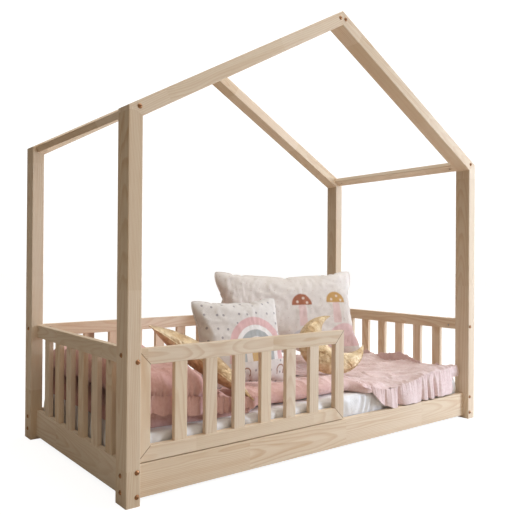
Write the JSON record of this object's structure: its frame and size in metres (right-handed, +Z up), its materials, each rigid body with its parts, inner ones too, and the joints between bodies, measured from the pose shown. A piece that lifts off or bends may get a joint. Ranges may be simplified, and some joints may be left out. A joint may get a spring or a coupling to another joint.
{
  "type": "toddler house bed",
  "caption": "Low pine toddler bed with a gabled house frame, slatted end, back and half-length front guard panels, slatted base, mattress and loose bedding.",
  "frame": {"origin": "on the floor, below the middle of the bed", "axes": "+X along the bed towards the open end of the front, +Y from the open front to the back panel, +Z up"},
  "size_m": [1.7084, 0.9084, 1.615],
  "materials": {
    "pine": "sanded, unlacquered finger-jointed pine",
    "beech": "plain dowel",
    "brass": "dull bronzed bolt heads",
    "steel": "zinc plated",
    "strap": "woven tape",
    "ticking": "mattress ticking",
    "sheet": "plain white cotton",
    "quilt": "washed muslin, dusty pink",
    "pillow_cotton": "printed cotton",
    "cushion_cotton": "printed cotton",
    "gold_cloth": "crinkled metallic cloth"
  },
  "bodies": {
    "frame": {"post_front_left": "pine", "post_front_right": "pine", "post_back_left": "pine", "post_back_right": "pine", "rafter_front_left": "pine", "rafter_front_right": "pine", "rafter_back_left": "pine", "rafter_back_right": "pine", "ridge_beam": "pine", "eave_beam_left": "pine", "eave_beam_right": "pine", "front_low_rail": "pine", "back_low_rail": "pine", "left_low_rail": "pine", "right_low_rail": "pine", "back_top_rail": "pine", "left_top_rail": "pine", "right_top_rail": "pine", "guard_top_rail": "pine", "guard_bottom_rail": "pine", "guard_left_stile": "pine", "guard_right_stile": "pine", "guard_slat_1": "pine", "guard_slat_2": "pine", "guard_slat_3": "pine", "guard_slat_4": "pine", "guard_slat_5": "pine", "guard_slat_6": "pine", "left_slat_1": "pine", "left_slat_2": "pine", "left_slat_3": "pine", "left_slat_4": "pine", "left_slat_5": "pine", "left_slat_6": "pine", "right_slat_1": "pine", "right_slat_2": "pine", "right_slat_3": "pine", "right_slat_4": "pine", "right_slat_5": "pine", "right_slat_6": "pine", "back_slats": "pine", "front_ledge": "pine", "back_ledge": "pine", "base_slats": "pine", "base_straps": "strap", "side_bolts": "brass", "end_bolts": "brass", "roof_bolts": "brass", "barrel_nuts": "steel", "roof_dowels": "beech", "guard_dowels": "beech", "base_screws": "steel"},
    "mattress_body": {"mattress": "ticking", "fitted_sheet": "sheet"},
    "quilt_body": {"quilt": "quilt"},
    "pillow_body": {"pillow": "pillow_cotton"},
    "square_cushion_body": {"square_cushion": "cushion_cotton"},
    "small_moon_body": {"small_moon_cushion": "gold_cloth"},
    "large_moon_body": {"large_moon_cushion": "gold_cloth"}
  },
  "joints": [
    {"name": "mattress_lift", "type": "slide", "parent": "frame", "child": "mattress_body", "axis": [0, 0, 1], "range_m": [0, 0.25]},
    {"name": "quilt_lift", "type": "slide", "parent": "mattress_body", "child": "quilt_body", "axis": [0, 0, 1], "range_m": [0, 0.2]},
    {"name": "pillow_lift", "type": "slide", "parent": "quilt_body", "child": "pillow_body", "axis": [0, 0, 1], "range_m": [0, 0.2]},
    {"name": "square_cushion_lift", "type": "slide", "parent": "quilt_body", "child": "square_cushion_body", "axis": [0, 0, 1], "range_m": [0, 0.2]},
    {"name": "small_moon_lift", "type": "slide", "parent": "quilt_body", "child": "small_moon_body", "axis": [0, 0, 1], "range_m": [0, 0.2]},
    {"name": "large_moon_lift", "type": "slide", "parent": "quilt_body", "child": "large_moon_body", "axis": [0, 0, 1], "range_m": [0, 0.2]}
  ]
}
